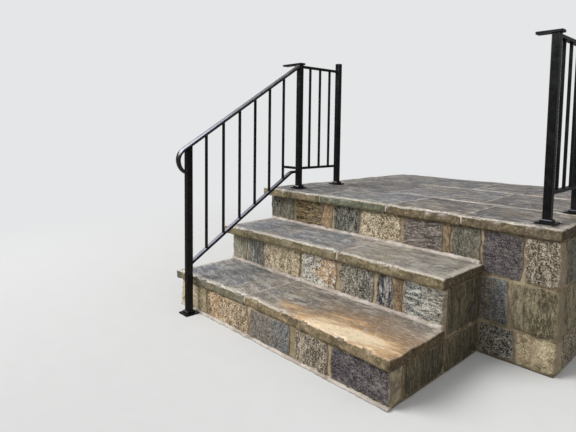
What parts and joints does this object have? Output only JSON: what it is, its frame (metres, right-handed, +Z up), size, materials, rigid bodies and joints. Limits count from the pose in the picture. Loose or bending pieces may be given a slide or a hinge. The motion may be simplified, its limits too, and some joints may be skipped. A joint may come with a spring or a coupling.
{
  "type": "outdoor stone steps",
  "caption": "Outdoor stone entry steps with flagstone treads, a slab landing, a black steel stair rail and short landing guards.",
  "frame": {"origin": "on the ground, in the middle of the masonry's footprint", "axes": "+X to the right along the risers as one climbs, +Y back over the landing towards the wall behind it, +Z up"},
  "size_m": [1.7, 2.2652, 1.408],
  "materials": {
    "riser_stone": "rough split fieldstone in light mortar",
    "flagstone": "cleft face, hewn front edge",
    "black_steel": "satin black paint"
  },
  "bodies": {
    "root": {"bottom_step_base": "riser_stone", "handrail_tongue": "black_steel", "landing_base": "riser_stone", "landing_edge_1": "flagstone", "landing_edge_2": "flagstone", "landing_edge_3": "flagstone", "landing_edge_4": "flagstone", "landing_flag_1": "flagstone", "landing_flag_2": "flagstone", "landing_flag_3": "flagstone", "landing_flag_4": "flagstone", "landing_flag_5": "flagstone", "left_bottom_tie": "black_steel", "left_guard_baluster_1": "black_steel", "left_guard_baluster_2": "black_steel", "left_guard_baluster_3": "black_steel", "left_guard_bottom_rail": "black_steel", "left_guard_end_post": "black_steel", "left_guard_end_shoe": "black_steel", "left_guard_front_post": "black_steel", "left_guard_front_shoe": "black_steel", "left_guard_top_rail": "black_steel", "left_top_tie": "black_steel", "lower_post": "black_steel", "lower_post_shoe": "black_steel", "middle_step_base": "riser_stone", "right_guard_balusters": "black_steel", "right_guard_bottom_rail": "black_steel", "right_guard_end_post": "black_steel", "right_guard_end_shoe": "black_steel", "right_guard_front_post": "black_steel", "right_guard_front_shoe": "black_steel", "right_guard_top_rail": "black_steel", "right_top_plate": "black_steel", "stair_baluster_1": "black_steel", "stair_baluster_2": "black_steel", "stair_baluster_3": "black_steel", "stair_baluster_4": "black_steel", "stair_baluster_5": "black_steel", "stair_baluster_6": "black_steel", "stair_bottom_rail": "black_steel", "stair_handrail": "black_steel", "tread_1_left": "flagstone", "tread_1_right": "flagstone", "tread_2_left": "flagstone", "tread_2_right": "flagstone"}
  },
  "joints": []
}
